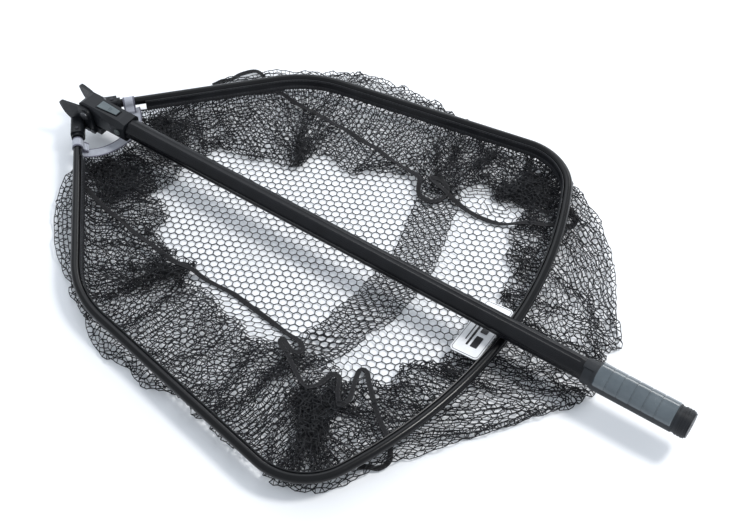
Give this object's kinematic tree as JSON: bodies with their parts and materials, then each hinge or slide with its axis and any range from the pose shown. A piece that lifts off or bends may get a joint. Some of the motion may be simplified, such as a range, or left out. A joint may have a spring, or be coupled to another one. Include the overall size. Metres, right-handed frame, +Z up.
{
  "type": "folding landing net",
  "caption": "Folding landing net: rounded tube hoop with a mesh bag, hinged head that folds the telescopic grip handle back over the hoop, neck strap and lock.",
  "frame": {"origin": "on the ground under the middle of the folded net's length, on the handle's line", "axes": "+X from the head towards the grip, +Z up, +Y to the left seen along +X"},
  "size_m": [0.9686, 0.6712, 0.0725],
  "materials": {
    "black_tube": "gloss",
    "moulding": "satin",
    "steel": "satin",
    "dark_steel": "satin",
    "coated_band": "semi-gloss",
    "netting": "matte",
    "tape": "matte",
    "webbing": "matte",
    "label": "satin",
    "bush": "matte",
    "inner_alloy": "satin",
    "soft_pad": "matte",
    "stow": "matte",
    "anodised": "satin",
    "grip_rubber": "matte",
    "clear_pad": "satin",
    "cap_plastic": "satin"
  },
  "bodies": {
    "hoop": {"hoop_tube": "black_tube", "left_yoke": "moulding", "right_yoke": "moulding", "yoke_bridge": "moulding", "yoke_screws": "steel", "socket_rivets": "dark_steel", "hinge_pin": "steel", "pin_cap": "steel", "lock_hub": "steel", "rim_band": "coated_band", "net_floor": "netting", "net_left_wall": "netting", "net_right_wall": "netting", "net_front_wall": "netting", "net_rear_wall": "netting", "seam_tapes": "tape", "neck_strap": "webbing", "left_strap_loop": "webbing", "right_strap_loop": "webbing", "label_patch": "label"},
    "head": {"block_lower": "moulding", "block_upper": "moulding", "block_screws": "steel", "hinge_bushes": "bush", "tube_pin": "steel", "inner_tube": "inner_alloy", "glide_bush": "bush", "latch_spring": "steel", "button_springs": "steel"},
    "latch": {"latch_bolt": "steel"},
    "release": {"release_button": "moulding", "button_pad": "soft_pad"},
    "left_stow": {"left_stow_button": "stow"},
    "right_stow": {"right_stow_button": "stow"},
    "handle": {"outer_tube": "anodised", "mouth_bush": "bush", "grip_body": "grip_rubber", "grip_pad": "clear_pad", "end_cap": "cap_plastic", "cap_insert": "cap_plastic"}
  },
  "joints": [
    {"name": "handle_fold", "type": "hinge", "parent": "hoop", "child": "head", "pos_m": [-0.44075, 0, 0.0535], "axis": [0, -1, 0], "range_deg": [0, 180]},
    {"name": "handle_extend", "type": "slide", "parent": "head", "child": "handle", "axis": [1, 0, 0], "range_m": [0, 0.55]},
    {"name": "release_press", "type": "hinge", "parent": "head", "child": "release", "pos_m": [-0.39075, 0, 0.0684], "axis": [0, -1, 0], "range_deg": [0, 4], "stiffness_Nm_per_rad": 2, "springref_deg": -2.86, "deforming": ["button_springs"]},
    {"name": "latch_slide", "type": "slide", "parent": "head", "child": "latch", "axis": [1, 0, 0], "range_m": [0, 0.002], "deforming": ["latch_spring"]},
    {"name": "left_stow_press", "type": "slide", "parent": "head", "child": "left_stow", "axis": [0, -1, 0], "range_m": [0, 0.002], "stiffness_N_per_m": 400, "springref_m": -0.002},
    {"name": "right_stow_press", "type": "slide", "parent": "head", "child": "right_stow", "axis": [0, 1, 0], "range_m": [0, 0.002], "stiffness_N_per_m": 400, "springref_m": -0.002}
  ],
  "couplings": [
    {"joint": "latch_slide", "follows": "release_press", "m_per_rad": 0.0286}
  ]
}
